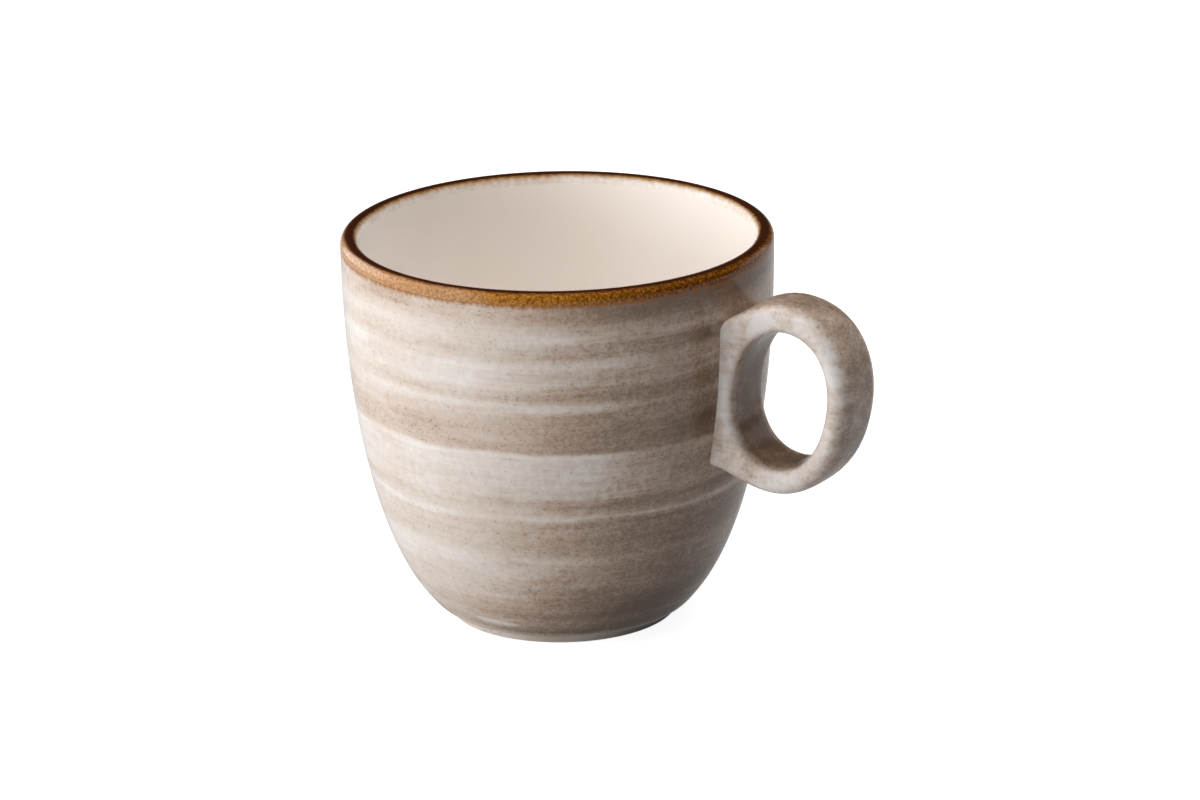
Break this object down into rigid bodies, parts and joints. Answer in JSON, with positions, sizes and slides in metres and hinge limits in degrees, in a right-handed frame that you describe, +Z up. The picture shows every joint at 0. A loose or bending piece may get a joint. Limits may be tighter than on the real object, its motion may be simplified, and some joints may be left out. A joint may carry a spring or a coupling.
{
  "type": "mug",
  "caption": "Round-bottomed stoneware coffee mug with a brown lip, brushed grey-beige glaze outside, cream inside and a ring handle.",
  "frame": {"origin": "on the surface that the mug stands on, under the middle of cup and handle together", "axes": "+Z up along the cup's axis, +X from the cup towards its handle, Y across the handle; the cup's axis is at x = -12.83 mm"},
  "size_m": [0.1106, 0.085, 0.078],
  "materials": {
    "clay": "matte",
    "cream_glaze": "gloss",
    "brushed_glaze": "gloss",
    "rim_glaze": "gloss"
  },
  "bodies": {
    "root": {"body_shell": "clay", "handle_slip": "clay", "handle_core": "clay", "inner_glaze": "cream_glaze", "outer_glaze": "brushed_glaze", "handle_glaze": "brushed_glaze", "base_glaze": "brushed_glaze", "rim_band": "rim_glaze"}
  },
  "joints": []
}
